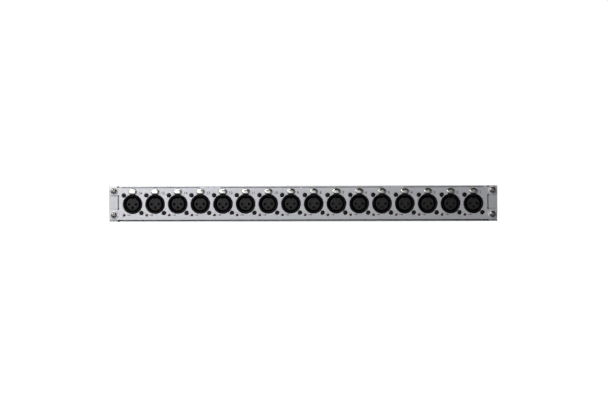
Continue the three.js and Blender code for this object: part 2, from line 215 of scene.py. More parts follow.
def offset(poly, d):
    """Moves a closed outline to its left by d."""
    out = []
    m = len(poly)
    for i in range(m):
        a, b, c = Vector(poly[i - 1]), Vector(poly[i]), Vector(poly[(i + 1) % m])
        u, v = (b - a), (c - b)
        if u.length < 1e-7 or v.length < 1e-7:
            w = u if u.length > v.length else v
            nn = Vector((-w.y, w.x)).normalized() if w.length > 1e-9 else Vector((0, 0))
            out.append(tuple(b + nn * d))
            continue
        n1 = Vector((-u.y, u.x)).normalized()
        n2 = Vector((-v.y, v.x)).normalized()
        s = n1 + n2
        if s.length < 1e-4:
            out.append(tuple(b + n1 * d))
            continue
        s.normalize()
        out.append(tuple(b + s * (d / max(0.35, s.dot(n1)))))
    return out

class Piece:
    """One object under construction, in millimetres. Plan coordinates (a, b, depth) go through
    axes to X, Y, Z, so that the same tools extrude along Y, Z or X."""

    def __init__(self, axes="xzy"):
        self.bm = bmesh.new()
        self.axes = axes
        self.flat = self.bm.faces.layers.int.new("flat")
        self.at = Matrix.Identity(4)

    def v(self, a, b, d):
        p = {"xzy": (a, d, b), "xyz": (a, b, d), "yzx": (d, a, b)}[self.axes]
        return self.bm.verts.new(self.at @ Vector(p))

    def face(self, verts, mat, flat=False):
        if len(set(verts)) < 3:
            return
        try:
            f = self.bm.faces.new(verts)
        except ValueError:
            return
        f.material_index = mat
        f.smooth = True
        f[self.flat] = 1 if flat else 0
        return f

    def cap(self, rings, polys, mat):
        pts = [[Vector((p[0], p[1], 0)) for p in poly] for poly in polys]
        flat = [v for r in rings for v in r]
        for t in tessellate_polygon(pts):
            self.face([flat[i] for i in t], mat, True)

    def plate(self, outlines, d0, d1, bevel=0.0, seg=2, mat=0, edge=None, back=True, back_bevel=None):
        """A plate between depths d0 and d1. The first outline is the outside and the rest are holes."""
        edge = mat if edge is None else edge
        bb = bevel if back_bevel is None else back_bevel
        polys = []
        for i, o in enumerate(outlines):
            o = list(o)
            ccw = area2(o) > 0
            polys.append(o if ccw == (i == 0) else o[::-1])
        sign = 1 if d1 > d0 else -1
        levels = []
        if bevel > 0:
            for k in range(seg + 1):
                t = k / seg * PI / 2
                levels.append((bevel * (1 - math.sin(t)), d0 + sign * bevel * (1 - math.cos(t))))
        else:
            levels.append((0, d0))
        if bb > 0:
            for k in range(seg, -1, -1):
                t = k / seg * PI / 2
                levels.append((bb * (1 - math.sin(t)), d1 - sign * bb * (1 - math.cos(t))))
        else:
            levels.append((0, d1))
        all_rings = []
        for poly in polys:
            rings = []
            for off, dep in levels:
                q = offset(poly, off) if off > 1e-9 else poly
                rings.append([self.v(x, z, dep) for x, z in q])
            for a, b in zip(rings, rings[1:]):
                for i in range(len(poly)):
                    j = (i + 1) % len(poly)
                    self.face([a[i], a[j], b[j], b[i]], edge)
            all_rings.append(rings)
        first = [offset(p, levels[0][0]) if levels[0][0] > 1e-9 else p for p in polys]
        self.cap([r[0] for r in all_rings], first, mat)
        if back:
            last = [offset(p, levels[-1][0]) if levels[-1][0] > 1e-9 else p for p in polys]
            self.cap([r[-1] for r in all_rings], last, mat)
        return self

    def rings(self, levels, mat=0, cap0=True, cap1=True, flat_caps=True):
        """Closed rings of the same number of points, joined in order: [(points, depth), ...]."""
        made = [[self.v(x, z, d) for x, z in pts] for pts, d in levels]
        n = len(made[0])
        for a, b in zip(made, made[1:]):
            for i in range(n):
                j = (i + 1) % n
                self.face([a[i], a[j], b[j], b[i]], mat)
        for on, r in ((cap0, made[0]), (cap1, made[-1])):
            if on:
                self.face(list(r), mat, flat_caps)
        return self

    def lathe(self, prof, cx=0.0, cz=0.0, n=64, mat=0, closed=False):
        """Turns a profile [(radius, depth), ...] about an axis along the depth."""
        rows = []
        for r, d in prof:
            if r < 1e-6:
                rows.append([self.v(cx, cz, d)])
            else:
                rows.append([self.v(x, z, d) for x, z in circle(cx, cz, r, n)])
        pairs = list(zip(rows, rows[1:]))
        if closed:
            pairs.append((rows[-1], rows[0]))
        for a, b in pairs:
            for i in range(n):
                j = (i + 1) % n
                if len(a) == 1 and len(b) == 1:
                    continue
                if len(a) == 1:
                    self.face([a[0], b[j], b[i]], mat)
                elif len(b) == 1:
                    self.face([a[i], a[j], b[0]], mat)
                else:
                    self.face([a[i], a[j], b[j], b[i]], mat)
        return self

    def block(self, a0, a1, b0, b1, d0, d1, bevel=0.15, corner=None, mat=0, seg=2):
        c = corner if corner is not None else bevel
        pts = [(a0, b0), (a1, b0), (a1, b1), (a0, b1)]
        pts = rounded(pts, c, 3) if c > 0 else pts
        return self.plate([pts], d0, d1, bevel, seg, mat)

    def mesh(self, name, mats, angle=35):
        bmesh.ops.remove_doubles(self.bm, verts=self.bm.verts, dist=1e-5)
        bmesh.ops.recalc_face_normals(self.bm, faces=self.bm.faces)
        bmesh.ops.scale(self.bm, vec=(MM, MM, MM), verts=self.bm.verts)
        me = bpy.data.meshes.new(name)
        flags = [f[self.flat] for f in self.bm.faces]
        self.bm.to_mesh(me)
        self.bm.free()
        for m in mats:
            me.materials.append(MAT[m] if isinstance(m, str) else m)
        me.polygons.foreach_set("use_smooth", [True] * len(flags))
        me.set_sharp_from_angle(angle=math.radians(angle))
        me.polygons.foreach_set("use_smooth", [not f for f in flags])   # the flats stay flat
        if "flat" in me.attributes:
            me.attributes.remove(me.attributes["flat"])
        return me

def add(name, me, body="chassis", at=(0, 0, 0), replaces=()):
    o = bpy.data.objects.new(name, me)
    bpy.context.scene.collection.objects.link(o)
    o.location = Vector(at) * MM
    bpy.context.view_layer.update()
    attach(o, body)
    if replaces:
        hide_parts(*replaces)
    return o

def cut(me, cutter, name=None, op="DIFFERENCE"):
    """me with cutter's volume taken away, or joined on, as a new mesh."""
    a = bpy.data.objects.new("tmp_a", me)
    b = bpy.data.objects.new("tmp_b", cutter)
    for o in (a, b):
        bpy.context.scene.collection.objects.link(o)
    m = a.modifiers.new("b", "BOOLEAN")
    m.operation, m.object, m.solver = op, b, "EXACT"
    dg = bpy.context.evaluated_depsgraph_get()
    dg.update()
    out = bpy.data.meshes.new_from_object(a.evaluated_get(dg), depsgraph=dg)
    out.name = name or me.name
    bpy.data.objects.remove(a)
    bpy.data.objects.remove(b)
    return out

def sharpen(me, angle=35):
    me.polygons.foreach_set("use_smooth", [True] * len(me.polygons))
    me.set_sharp_from_angle(angle=math.radians(angle))
    return me

# ------------------------------------------------------------------ front panel
def panel_outline():
    W, z0 = P_HI[0], P_LO[2]
    tx, lo, hi = 229.5, 15.9, 32.7
    cx = tx + 0.5
    # the slot beside the ear runs between two relief holes
    right = []
    right += arc(W - 1.0, z0 + 1.0, 1.0, -90, 0, 6)
    right += arc(W - 0.8, lo - 0.8, 0.8, 0, 90, 5)
    right += arc(cx, lo + 0.5, 1.15, -25.8, -229.3, 18)
    right += arc(cx, hi - 0.5, 1.15, 229.3, 25.8, 18)
    right += arc(W - 0.8, hi + 0.8, 0.8, -90, 0, 5)
    right += arc(W - 1.0, H - 1.0, 1.0, 0, 90, 6)
    right += [(tx + 1.3, H)] + arc(tx + 0.4, H - 1.1, 0.9, 0, -180, 12) + [(tx - 0.5, H)]
    left = [(-x, z) for x, z in right][::-1]
    return right + left

def socket_hole(x):
    r, w = 12.3, 3.4
    a = math.degrees(math.acos(w / r))
    pts = arc(0, 0, r, a, -360 + (180 - a) , 84)
    pts += rounded([(-w, 13.0), (-w, 15.0), (w, 15.0), (w, 13.0)], [0, 0.7, 0.7, 0], 5)
    return [(x + px, ZC + pz) for px, pz in pts]

def slot_hole(x, z, w=9.0, h=6.6, n=14):
    c = (w - h) / 2
    return arc(x + c, z, h / 2, -90, 90, n) + arc(x - c, z, h / 2, 90, 270, n)

panel = Piece()
holes = []
for n, x in SX.items():
    holes.append(socket_hole(x))
    for sx, sz in SCREWS:
        holes.append(circle(x + sx, ZC + sz, 2.86, 40))
    holes.append(circle(x + LED_X, ZC + LED_Z, 1.74, 32))
for s in (-1, 1):
    for node in ("lower", "upper"):
        z = centre(f"rack_screw_{node}_left")[2]
        holes.append(slot_hole(s * 234.4, z))
panel.plate([panel_outline()] + holes, YF, YB, 0.16, 2, 0, 1)
for f in panel.bm.faces:      # painted shade: the cut edges of the ear slots and the top relief notches take the near-black recess material
    c = f.calc_center_median()
    if f.material_index == 1 and 228.4 < abs(c.x) < 231.3 and (15.1 < c.z < 33.5 or c.z > H - 2.2):
        f.material_index = 2
add("front_panel_plate", panel.mesh("front_panel_plate", ["panel", "panel_edge", "recess"]),
    replaces=["front_panel"])

# ------------------------------------------------------------------ print on the panel
def text_mesh(body, size, x, z, align="CENTER", spacing=1.0, bold=0.0, y=None, turn=0.0, mat="ink", shear=0.0):
    """Printed figures as thin raised ink. They lie in the X, Z plane, facing -Y."""
    cu = bpy.data.curves.new("t", "FONT")
    cu.body = body
    cu.size = size
    cu.align_x, cu.align_y = align, "CENTER"
    cu.space_character = spacing
    cu.extrude = 0.02
    cu.offset = bold
    cu.shear = shear
    cu.resolution_u = 6
    o = bpy.data.objects.new("t", cu)
    bpy.context.scene.collection.objects.link(o)
    dg = bpy.context.evaluated_depsgraph_get()
    dg.update()
    me = bpy.data.meshes.new_from_object(o.evaluated_get(dg), depsgraph=dg)
    bpy.data.objects.remove(o)
    m = Matrix.Translation((x, YF if y is None else y, z)) @ Matrix.Rotation(turn, 4, "Z") @ Matrix.Rotation(PI / 2, 4, "X")
    me.transform(m)
    me.materials.clear()
    return me

def ink_piece(name, texts, strips, mat, body="chassis", y=None, y_sign=-1):
    """One object for all the print of one colour: texts are meshes in mm, strips are boxes."""
    y = YF if y is None else y
    bm = bmesh.new()
    for me in texts:
        bm.from_mesh(me)
    for x0, x1, z0, z1 in strips:
        d0, d1 = (y - 0.02, y + 0.02)
        vs = [bm.verts.new((px, d, pz)) for d in (d0, d1) for px, pz in ((x0, z0), (x1, z0), (x1, z1), (x0, z1))]
        for q in ((0, 1, 2, 3), (7, 6, 5, 4), (0, 4, 5, 1), (1, 5, 6, 2), (2, 6, 7, 3), (3, 7, 4, 0)):
            bm.faces.new([vs[i] for i in q])
    bmesh.ops.remove_doubles(bm, verts=bm.verts, dist=1e-5)
    bmesh.ops.recalc_face_normals(bm, faces=bm.faces)
    bmesh.ops.scale(bm, vec=(MM, MM, MM), verts=bm.verts)
    me = bpy.data.meshes.new(name)
    bm.to_mesh(me)
    bm.free()
    me.materials.append(MAT[mat])
    return add(name, me, body)

ZL = ZC + 20.65
line = lambda x0, x1: (x0, x1, ZL - 0.40, ZL + 0.40)
strips = [line(-226.1, -128.0), line(-101.8, -2.6), line(-0.9, 99.6), line(125.6, 224.2)]
texts = []
for n, x in SX.items():
    texts.append(text_mesh(str(n), 4.6, x + 7.4, ZC + 13.75, align="LEFT", spacing=1.04, bold=0.09))
texts.append(text_mesh("1 6  -  9", 2.0, -114.9, ZL, spacing=1.6, bold=0.06))
texts.append(text_mesh("8  -  1", 2.0, 112.6, ZL, spacing=1.6, bold=0.06))
ink_piece("panel_print", texts, strips, "ink")
texts = []
for n, x in SX.items():
    texts.append(text_mesh("+48", 2.25, x - 4.75, ZC + LED_Z + 0.05, spacing=1.25, bold=0.10))
ink_piece("panel_print_small", texts, [], "ink")

# ------------------------------------------------------------------ sockets
def shell_mesh():
    p = Piece()
    y0 = YB - YF + 0.3
    p.lathe([(9.6, 20.0), (9.6, 2.2), (9.68, 1.5), (9.86, 0.9), (10.12, 0.42), (10.42, 0.08), (10.72, -0.12),
             (10.86, -0.12), (10.94, -0.2), (11.10, -0.27), (11.38, -0.30), (11.66, -0.27), (11.87, -0.14),
             (11.99, 0.04), (12.02, 0.3), (12.02, y0 + 0.3), (10.6, y0 + 0.5), (10.6, 19.6), (10.3, 20.0)],
            n=96, closed=True)
    # fused block under the latch
    pts = rounded([(-3.3, 9.8), (3.3, 9.8), (3.0, 11.9), (2.3, 12.6), (-2.3, 12.6), (-3.0, 11.9)], [0, 0, 0.5, 0.6, 0.6, 0.5], 4)
    p.plate([pts], -0.26, y0 + 0.3, 0.3, 3)
    lobes = [(-11, -9), (-8.5, -11.9), (8.4, -11.9), (8.6, -13.4), (13.4, -13.4), (13.4, -8.6),
             (11, -8.4), (11, 9), (8.5, 11.9), (-8.4, 11.9), (-8.6, 13.4), (-13.4, 13.4), (-13.4, 8.6), (-11, 8.4)]
    rad = [1.5, 1.5, 0.6, 0.6, 2.4, 0.6, 0.6, 1.5, 1.5, 0.6, 0.6, 2.4, 0.6, 0.6]
    p.plate([rounded(lobes, rad, 5), circle(0, 0, 10.2, 96)], y0, y0 + 2.5, 0.2, 2)
    # cheeks with an open cradle for the latch's axle
    p.axes = "yzx"
    cheek = rounded([(y0 + 2.3, 9.8), (7.8, 9.8), (7.8, 15.6), (7.08, 15.6), (7.08, 13.02), (4.92, 13.02), (4.92, 15.6), (y0 + 2.3, 15.6)],
                    [0, 0.2, 0.3, 0.2, 0.5, 0.5, 0.1, 0.1], 4)
    for a, b in ((-4.7, -3.15), (3.15, 4.7)):
        p.plate([cheek], a, b, 0.08, 2)
    p.axes = "xzy"
    # ring floor of the cavity
    p.lathe([(9.7, 15.4), (7.6, 15.4), (7.6, 16.4), (9.7, 16.4)], n=64, closed=True)
    window = Piece()
    window.plate([[(-2.1, 5.0), (2.1, 5.0), (2.1, 12.0), (-2.1, 12.0)]], 10.2, 13.6)
    return sharpen(cut(p.mesh("xlr_shell", ["shell"]), window.mesh("window", []), "xlr_shell"))

def insert_mesh():
    p = Piece()
    holes = [(-4.3, 0.0), (4.3, 0.0), (0.0, -4.3)]
    r = 7.75
    # face with the keyway at the top
    a = math.degrees(math.asin(1.35 / r))
    face = arc(0, 0, r, 90 + a, 450 - a, 88) + rounded([(1.35, 6.9), (1.35, 5.9), (-1.35, 5.9), (-1.35, 6.9)], [0, 0.4, 0.4, 0], 3)
    p.plate([face] + [circle(x, z, 1.46, 32) for x, z in holes], 0.9, 15.0, 0.28, 3)
    # raised field in front of the face, with its own chamfer
    inner = circle(0, 0, 6.75, 80)
    arc_slot = arc(0, 0, 5.55, 35, 145, 30) + arc(0, 0, 4.95, 145, 35, 30)
    p.plate([inner, arc_slot] + [circle(x, z, 1.56, 32) for x, z in holes], 0.62, 1.2, 0.16, 2)
    # collars round the contacts
    for x, z in holes:
        p.plate([circle(x, z, 2.2, 40), circle(x, z, 1.60, 40)], 0.44, 1.0, 0.12, 2)
    # the inside of each contact hole, with the sprung contact down in it
    for x, z in holes:
        p.lathe([(0.0, 11.0), (1.5, 11.0), (1.5, 11.6), (0.0, 11.6)], x, z, 32)
        p.lathe([(1.24, 9.0), (1.32, 9.3), (1.32, 10.9), (0.92, 10.9), (0.92, 9.3), (1.02, 9.0)], x, z, 24, 1, closed=True)
    p.lathe([(0.0, 14.9), (r, 14.9), (9.3, 15.6), (9.3, 20.2), (0.0, 20.2)], n=64)
    p.block(-8.5, 8.5, -8.2, 4.0, 20.0, 24.0, 0.25, 0.6)
    for x, y in ((-5, 21.4), (0, 23.0), (5, 21.4)):
        p.axes = "xyz"
        p.block(x - 0.4, x + 0.4, y - 0.4, y + 0.4, -14.1, -8.0, 0.1, 0.1, 1)
        p.axes = "xzy"
    return p.mesh("xlr_insert", ["insert", "contact"])

def tab_outline(n=40):
    """Front outline of the thumb tab: a dome over shoulders that draw in to a narrow foot."""
    dome = [(5.3 * math.cos(t), 15.05 + 4.45 * math.sin(t)) for t in [PI / n * i for i in range(n + 1)]]
    foot = rounded([(-5.3, 14.5), (-3.35, 12.5), (3.35, 12.5), (5.3, 14.5)], [0.6, 0.7, 0.7, 0.6], 4)
    return [(x, z) for x, z in dome] + foot

def latch_mesh():
    p = Piece()
    o = tab_outline()
    o = o if area2(o) > 0 else o[::-1]
    # crowned across, edges turned back, and a shallow thumb dish inside a rolled rim
    levels = [(0.90, -1.78), (0.965, -1.80), (1.0, -1.94), (1.0, -2.02), (0.985, -2.20), (0.95, -2.42), (0.90, -2.62),
              (0.84, -2.78), (0.77, -2.90), (0.70, -2.98), (0.62, -3.03), (0.54, -3.045), (0.45, -3.035),
              (0.34, -3.02), (0.22, -3.01), (0.10, -3.005)]
    c = (0.0, 15.7)
    rings = []
    for k, d in levels:
        ring = []
        for x, z in o:
            wide = 0.6 + 0.4 * max(0.0, min(1.0, (0.7 - k) / 0.6))     # a narrower edge at the flanks
            px, pz = c[0] + (x - c[0]) * (1 - (1 - k) * wide), c[1] + (z - c[1]) * k
            ring.append(p.v(px, pz, d + 0.008 * px * px + 0.022 * max(0.0, pz - 13.6) ** 2 - 0.09))
        rings.append(ring)
    for a, b in zip(rings, rings[1:]):
        for i in range(len(o)):
            j = (i + 1) % len(o)
            p.face([a[i], a[j], b[j], b[i]], 0)
    p.face(rings[0], 0, False)
    p.face(rings[-1], 0, False)
    # three grip ribs in the dish
    for k, hw in ((-1, 1.5), (0, 1.8), (1, 1.5)):
        z = 15.6 + k * 0.75
        p.plate([rounded([(-hw, z - 0.17), (hw, z - 0.17), (hw, z + 0.17), (-hw, z + 0.17)], 0.16, 3)], -3.06, -2.8, 0.07, 2)
    # neck through the notch, arm and hook
    p.axes = "yzx"
    prof = rounded([(-2.2, 13.6), (11.2, 13.6), (11.2, 8.9), (12.0, 8.9), (12.6, 10.2), (12.6, 14.6), (-2.2, 14.45)],
                   [0.3, 0.4, 0.2, 0.3, 0.2, 0.8, 0.3], 4)
    p.plate([prof], -1.7, 1.7, 0.18, 2, 1)
    # axle
    p.axes = "yzx"
    p.lathe([(0.0, -4.4), (0.7, -4.4), (0.85, -4.25), (0.85, 4.25), (0.7, 4.4), (0.0, 4.4)], 6.0, 14.1, 24)
    return p.mesh("latch", ["nickel", "lever"], 50)

def cross_cutter(reach, width, depth, y, name="cross"):
    """Tapered cross recess, cutting back from y."""
    p = Piece()
    for turn in (0, PI / 2):
        def rot(pts):
            return [(x * math.cos(turn) - z * math.sin(turn), x * math.sin(turn) + z * math.cos(turn)) for x, z in pts]
        big = rot([(-reach, -width), (reach, -width), (reach, width), (-reach, width)])
        small = rot([(-reach * 0.45, -width * 0.75), (reach * 0.45, -width * 0.75), (reach * 0.45, width * 0.75), (-reach * 0.45, width * 0.75)])
        q = Piece()
        q.rings([(big, y - 0.6), (big, y), (small, y + depth)])
        m = q.mesh("c", [])
        p_me = m if turn == 0 else cut(p_me, m, op="UNION")
    p.bm.free()
    q = Piece()
    q.lathe([(0.0, y - 0.6), (width * 1.9, y - 0.6), (width * 1.9, y), (width * 0.9, y + depth), (0.0, y + depth + width * 0.5)], n=24)
    return cut(p_me, q.mesh("c", []), op="UNION")

def socket_screw_mesh():
    p = Piece()
    p.lathe([(0.0, -0.30), (0.9, -0.295), (1.75, -0.26), (2.32, -0.17), (2.6, -0.05), (2.7, 0.12), (2.7, 0.35), (1.5, 1.5), (1.35, 1.7),
             (1.35, 2.2), (0.0, 2.2)], n=48)
    head = p.mesh("socket_screw", ["black_screw"])
    head = cut(head, cross_cutter(1.45, 0.30, 1.15, -0.35), "socket_screw")
    return sharpen(head)

def rack_screw_mesh():
    p = Piece()
    p.lathe([(0.0, -3.18), (1.5, -3.16), (2.5, -3.08), (3.1, -2.92), (3.55, -2.62), (3.85, -2.2), (3.97, -1.7), (3.97, -1.24), (3.86, -1.12),
             (2.45, -1.12), (2.45, 10.6), (2.1, 11.0), (0.0, 11.0)], n=64)
    head = p.mesh("rack_screw", ["bright_screw"])
    head = cut(head, cross_cutter(2.6, 0.58, 2.0, -3.22), "rack_screw")
    sharpen(head)
    bm = bmesh.new()
    bm.from_mesh(head)
    w = Piece()
    w.lathe([(2.7, -0.32), (5.2, -0.32), (5.3, -0.42), (5.3, -0.86), (5.12, -1.06), (4.9, -1.1), (2.7, -1.1)], n=64, mat=1, closed=True)
    wm = w.mesh("w", ["bright_screw", "washer"])
    bm.from_mesh(wm)
    me = bpy.data.meshes.new("rack_screw_set")
    bm.to_mesh(me)
    bm.free()
    me.materials.append(MAT["bright_screw"])
    me.materials.append(MAT["washer"])
    return me

SHELL, INSERT, LATCH, SCREW = shell_mesh(), insert_mesh(), latch_mesh(), socket_screw_mesh()
two = bmesh.new()
for sx, sz in SCREWS:
    t = SCREW.copy()
    t.transform(Matrix.Translation((sx * MM, 0, sz * MM)) @ Matrix.Rotation(math.radians(18 if sx < 0 else -27), 4, "Y"))
    two.from_mesh(t)
PAIR = bpy.data.meshes.new("socket_screw_pair")
two.to_mesh(PAIR)
two.free()
PAIR.materials.append(MAT["black_screw"])

for n, x in SX.items():
    k = f"{n:02d}"
    at = (x, YF, ZC)
    add(f"socket_{k}_housing", SHELL, "chassis", at, [f"socket_{k}_shell"])
    add(f"socket_{k}_screws", PAIR, "chassis", at, ())
    add(f"socket_{k}_contacts", INSERT, "chassis", at, [f"socket_{k}_insert"])
    add(f"socket_{k}_latch_lever", LATCH, f"latch_{k}", at, [f"socket_{k}_latch"])

RACK = rack_screw_mesh()
for row in ("lower", "upper"):
    for side in ("left", "right"):
        c = centre(f"rack_screw_{row}_{side}")
        o = add(f"rack_screw_{row}_{side}_set", RACK, "chassis", (c[0], YF, c[2]), [f"rack_screw_{row}_{side}"])

# ------------------------------------------------------------------ indicators
for bank, nums in (("1_8", range(1, 9)), ("9_16", range(9, 17))):
    p = Piece()
    for n in nums:
        x = SX[n] + LED_X
        p.lathe([(0.0, -0.42), (0.5, -0.39), (0.95, -0.28), (1.3, -0.06), (1.5, 0.25), (1.56, 0.6), (1.56, 7.2), (0.0, 7.2)], x, ZC + LED_Z, 40)
    lo, hi = [[v / MM for v in c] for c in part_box(f"indicator_light_pipe_{bank}")]
    p.block(lo[0], hi[0], ZC + LED_Z - 0.9, hi[2], 7.0, hi[1] - YF, 0.2, 0.3)
    add(f"indicator_lenses_{bank}", p.mesh(f"indicator_lenses_{bank}", ["lens"]), "chassis", (0, YF, 0),
        [f"indicator_light_pipe_{bank}"])

# ------------------------------------------------------------------ tray and cover
def sheet_from(node, name, mats, recess=None):
    """The CAD sheet with its facets joined up; recess picks the faces that take the near-black material as painted
    shade.
    """
    bm = bmesh.new()
    bm.from_mesh(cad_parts[node].data)
    bmesh.ops.remove_doubles(bm, verts=bm.verts, dist=1e-6)
    bmesh.ops.dissolve_limit(bm, angle_limit=math.radians(1), verts=bm.verts, edges=bm.edges)
    for f in bm.faces:
        f.material_index = 1 if recess and recess(f) else 0
    me = bpy.data.meshes.new(name)
    bm.to_mesh(me)
    bm.free()
    for m in mats:
        me.materials.append(MAT[m])
    return me

def eased(o, width=0.22, segments=2):
    bv = o.modifiers.new("edges", "BEVEL")
    bv.width, bv.segments, bv.limit_method, bv.angle_limit = width * MM, segments, "ANGLE", math.radians(40)
    bv.use_clamp_overlap = True
    bv.harden_normals = False

# painted shade: tray faces seen through the ear slots and the gap under the panel, which get the near-black material
def behind_panel(f):
    c = f.calc_center_median() / MM
    if f.normal.z > 0.9 and 1.0 < c.z < 1.4:
        return True
    if abs(f.normal.x) > 0.9 and abs(abs(c.x) - 230.5) < 0.1:
        return True
    return f.normal.y < -0.9 and YB < c.y < YB + 1.0 and abs(c.x) > 222.0

tray = sheet_from("chassis_tray", "tray_body", ["sheet", "recess"], behind_panel)
eased(add("tray_body", tray, "chassis", (0, 0, 0), ["chassis_tray"]))

# the lid's four screws go through countersinks into the tabs that turn in from the side walls
LID_SCREWS = [(sx * 218.0, y) for sx in (-1, 1) for y in (YF + 40.0, YR - 16.0)]
cover = sheet_from("top_cover", "lid", ["sheet"])
sinks = Piece("xyz")
for x, y in LID_SCREWS:
    sinks.lathe([(0.0, H + 1.0), (2.95, H + 1.0), (2.95, H - 0.04), (1.75, H - 1.24), (1.75, H - 2.5), (0.0, H - 2.5)], x, y, 32)
cover = cut(cover, sinks.mesh("sinks", []), "lid")
eased(add("lid", cover, "chassis", (0, 0, 0), ["top_cover"]))

def lid_screws_mesh():
    bm = bmesh.new()
    for i, (x, y) in enumerate(LID_SCREWS):
        q = Piece("xyz")
        q.lathe([(0.0, 0.0), (2.55, 0.0), (2.72, -0.08), (2.72, -0.16), (1.55, -1.30), (1.45, -1.5), (1.45, -5.2), (1.2, -5.5), (0.0, -5.5)], 0, 0, 40)
        head = q.mesh("h", ["bright_screw"])
        tool = cross_cutter(1.45, 0.30, 1.1, 0.0)
        tool.transform(Matrix.Rotation(-PI / 2, 4, "X"))
        head = sharpen(cut(head, tool, "h"))
        head.transform(Matrix.Translation((x * MM, y * MM, (H - 0.06) * MM)) @ Matrix.Rotation(0.5 + 0.9 * i, 4, "Z"))
        bm.from_mesh(head)
    me = bpy.data.meshes.new("lid_screws")
    bm.to_mesh(me)
    bm.free()
    me.materials.append(MAT["bright_screw"])
    return me

add("lid_screws", lid_screws_mesh(), "chassis", (0, 0, 0), ())

# the main board: mask, plated holes with solder, two resistors to each channel, and its six screws
B_LO, B_HI = [[v / MM for v in c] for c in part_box("main_board")]

def board_mesh():
    p = Piece("xyz")
    top = B_HI[2]
    outline = rounded([(B_LO[0], B_LO[1]), (B_HI[0], B_LO[1]), (B_HI[0], B_HI[1]), (B_LO[0], B_HI[1])], 3.0, 5)
    posts = [(x, y) for x in (-200, 0, 200) for y in (B_LO[1] + 18, B_HI[1] - 10)]
    p.plate([outline] + [circle(x, y, 1.65, 24) for x, y in posts], B_LO[2], top, 0.1, 1, 0)
    for x, y in posts:
        p.lathe([(1.7, top + 0.02), (3.3, top + 0.02), (3.3, top + 0.06), (1.7, top + 0.06)], x, y, 32, 1, closed=True)
        p.lathe([(0.0, top + 1.9), (1.6, top + 1.85), (2.4, top + 1.55), (2.75, top + 1.0), (2.75, top + 0.08), (1.4, top + 0.08),
                 (1.4, B_LO[2] - 0.2), (0.0, B_LO[2] - 0.2)], x, y, 32, 2)
    for x in SX.values():
        for px, py in ((x - 5, YF + 21.4), (x, YF + 23.0), (x + 5, YF + 21.4)):
            p.lathe([(0.0, top + 0.02), (1.25, top + 0.02), (1.15, top + 0.1), (0.8, top + 0.28), (0.62, top + 0.55), (0.0, top + 0.6)], px, py, 20, 1)
    for x in SX.values():
        for k in (-4.2, 4.2):
            q = Piece("xzy")
            cy, cz = YF + 42.0, top + 1.35
            p.axes = "xzy"
            p.lathe([(0.0, cy - 3.2), (0.85, cy - 3.15), (1.1, cy - 2.7), (1.1, cy - 2.2), (0.98, cy - 1.9), (0.98, cy + 1.9), (1.1, cy + 2.2),
                     (1.1, cy + 2.7), (0.85, cy + 3.15), (0.0, cy + 3.2)], x + k, cz, 20, 3)
            for d in (-1.2, -0.3, 0.6):
                p.lathe([(0.99, cy + d - 0.2), (1.03, cy + d - 0.17), (1.03, cy + d + 0.17), (0.99, cy + d + 0.2)], x + k, cz, 20, 4, closed=True)
            p.lathe([(0.0, cy - 5.2), (0.28, cy - 5.2), (0.28, cy + 5.2), (0.0, cy + 5.2)], x + k, cz, 10, 1)
            p.axes = "xyz"
            for e in (-5.2, 5.2):
                p.lathe([(0.0, cz), (0.28, cz), (0.28, top), (0.0, top)], x + k, cy + e, 10, 1)
                p.lathe([(0.0, top + 0.02), (1.0, top + 0.02), (0.8, top + 0.12), (0.4, top + 0.5), (0.0, top + 0.55)], x + k, cy + e, 16, 1)
            q.bm.free()
    return p.mesh("board_assembly", ["board", "solder", "bright_screw", "resistor", "band"])

add("board_assembly", board_mesh(), "chassis", (0, 0, 0), ["main_board"])

# ------------------------------------------------------------------ rear connectors
def d_outline(w_top, w_bot, z_top, z_bot, r):
    return rounded([(-w_bot, z_bot), (w_bot, z_bot), (w_top, z_top), (-w_top, z_top)], r, 8)

def multipin_mesh():
    p = Piece()
    p.block(-26.5, 26.5, -6.2, 6.2, -2.7, -1.5, 0.2, 1.2, 0)
    p.plate([d_outline(19.2, 17.6, 3.9, -4.1, 2.2), d_outline(18.75, 17.15, 3.45, -3.65, 1.8)], 6.0, -2.0, 0.12, 2, 0)
    pins = [(-16.62 + 2.77 * i, 1.42) for i in range(13)] + [(-15.235 + 2.77 * i, -1.42) for i in range(12)]
    p.plate([d_outline(18.8, 17.2, 3.5, -3.7, 1.8)] + [circle(x, z, 0.62, 16) for x, z in pins], 5.45, -2.0, 0.12, 2, 1)
    for x, z in pins:
        p.lathe([(0.0, 1.6), (0.66, 1.6), (0.66, 1.2), (0.0, 1.2)], x, z, 16, 1)
        p.lathe([(0.56, 4.6), (0.56, 1.7), (0.36, 1.7), (0.36, 4.6)], x, z, 12, 2, closed=True)
    for s in (-1, 1):
        hexa = circle(s * 23.52, 0, 2.75, 6, PI / 6)
        p.plate([rounded(hexa, 0.15, 2), circle(s * 23.52, 0, 1.15, 32)], 5.0, 0.3, 0.25, 2, 0)
        p.lathe([(0.0, 0.6), (1.2, 0.6), (1.2, 0.35), (0.0, 0.35)], s * 23.52, 0, 32, 0)
        p.lathe([(0.0, 1.0), (1.5, 1.0), (1.5, -2.6), (0.0, -2.6)], s * 23.52, 0, 24, 0)
    p.block(-20.5, 20.5, -6.4, 5.4, -13.0, -2.6, 0.3, 0.6, 1)
    return p.mesh("multipin", ["plating", "dielectric", "contact"])

MULTIPIN = multipin_mesh()
for bank, x in MULTI.items():
    add(f"multipin_{bank}", MULTIPIN, "chassis", (x, YR, MZ), [f"multipin_connector_{bank}"])

